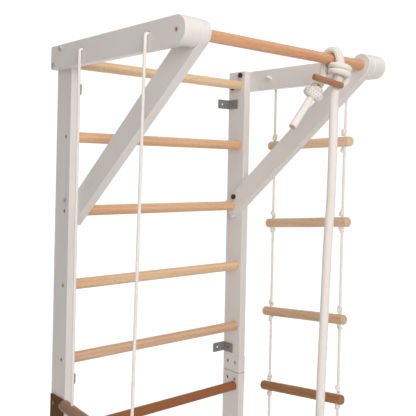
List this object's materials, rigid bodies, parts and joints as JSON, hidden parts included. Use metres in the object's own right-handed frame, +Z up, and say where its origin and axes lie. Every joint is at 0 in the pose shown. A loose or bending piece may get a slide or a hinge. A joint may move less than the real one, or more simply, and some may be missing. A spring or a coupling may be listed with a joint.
{
  "type": "wall bars",
  "caption": "Tall wall-mounted climbing frame of rungs between two uprights, with braced arms that carry a pull-up bar, rope ladder, trapeze and climbing rope.",
  "frame": {"origin": "centre of the four upper wall fixing holes, in the plane of the wall", "axes": "+X to the right along the rungs as seen from the room, -Y out from the wall into the room, +Z up"},
  "size_m": [0.8247, 0.673, 2.2053],
  "materials": {
    "white_painted_wood": "smooth satin white paint on solid wood",
    "varnished_beech": "clear satin varnish on turned beech",
    "pinkish_beech": "clear satin varnish on steamed beech",
    "brown_varnished_beech": "dark brown satin stain",
    "brass": "plain brass, lightly dulled",
    "zinc_steel": "bright zinc plate",
    "black_plastic": "moulded, slightly glossy",
    "white_cord": "braided cord",
    "white_rope": "soft braided rope"
  },
  "bodies": {
    "frame": {"upright_left_lower": "white_painted_wood", "upright_left_upper": "white_painted_wood", "upright_right_lower": "white_painted_wood", "upright_right_upper": "white_painted_wood", "rung_1": "varnished_beech", "rung_2": "varnished_beech", "rung_3": "varnished_beech", "rung_4": "varnished_beech", "rung_5": "varnished_beech", "rung_6": "varnished_beech", "rung_7": "varnished_beech", "rung_8": "varnished_beech", "rung_9": "varnished_beech", "rung_10": "varnished_beech", "rung_screws": "brass", "joint_dowels": "varnished_beech", "joint_plate_left": "brown_varnished_beech", "joint_plate_right": "brown_varnished_beech", "joint_bolts": "zinc_steel", "joint_nuts": "zinc_steel", "arm_left": "white_painted_wood", "arm_right": "white_painted_wood", "spacer_left": "white_painted_wood", "spacer_right": "white_painted_wood", "pull_up_bar": "pinkish_beech", "bar_end_screws": "brass", "brace_left": "white_painted_wood", "brace_right": "white_painted_wood", "arm_bolts": "zinc_steel", "brace_bolts": "zinc_steel", "bolt_nuts": "zinc_steel", "bolt_caps": "black_plastic", "wall_brackets_left": "zinc_steel", "wall_brackets_right": "zinc_steel", "bracket_screws": "zinc_steel", "ladder_cord_tops": "white_cord", "ladder_stopper_knots": "white_cord", "trapeze_cord_tops": "white_cord", "trapeze_stopper_knots": "white_cord"},
    "rope_ladder": {"ladder_rung_1": "varnished_beech", "ladder_rung_2": "varnished_beech", "ladder_rung_3": "varnished_beech", "ladder_rung_4": "varnished_beech", "ladder_rung_5": "varnished_beech", "ladder_rung_6": "varnished_beech", "ladder_cord_rear": "white_cord", "ladder_cord_front": "white_cord", "ladder_knots": "white_cord"},
    "trapeze": {"trapeze_bar": "varnished_beech", "trapeze_cord_rear": "white_cord", "trapeze_cord_front": "white_cord", "trapeze_knots": "white_cord"},
    "rope_head": {"climbing_rope_loop": "white_rope", "climbing_rope_turn": "white_rope", "climbing_rope_knot": "white_rope", "climbing_rope_tail": "white_rope", "rope_peg": "pinkish_beech"},
    "rope_hang": {"climbing_rope": "white_rope", "climbing_rope_end_knot": "white_rope"}
  },
  "joints": [
    {"name": "ladder_swing", "type": "hinge", "parent": "frame", "child": "rope_ladder", "pos_m": [0.3945, -0.343, 0.5242], "axis": [0, -1, 0], "range_deg": [0, 60]},
    {"name": "trapeze_swing", "type": "hinge", "parent": "frame", "child": "trapeze", "pos_m": [-0.3985, -0.343, 0.5242], "axis": [0, 1, 0], "range_deg": [0, 60]},
    {"name": "rope_swing", "type": "hinge", "parent": "frame", "child": "rope_head", "pos_m": [0.1775, -0.61, 0.532], "axis": [-1, 0, 0], "range_deg": [-14, 60]},
    {"name": "rope_sway", "type": "hinge", "parent": "rope_head", "child": "rope_hang", "pos_m": [0.1738, -0.622, 0.382], "axis": [0, -1, 0], "range_deg": [-20, 7]}
  ]
}
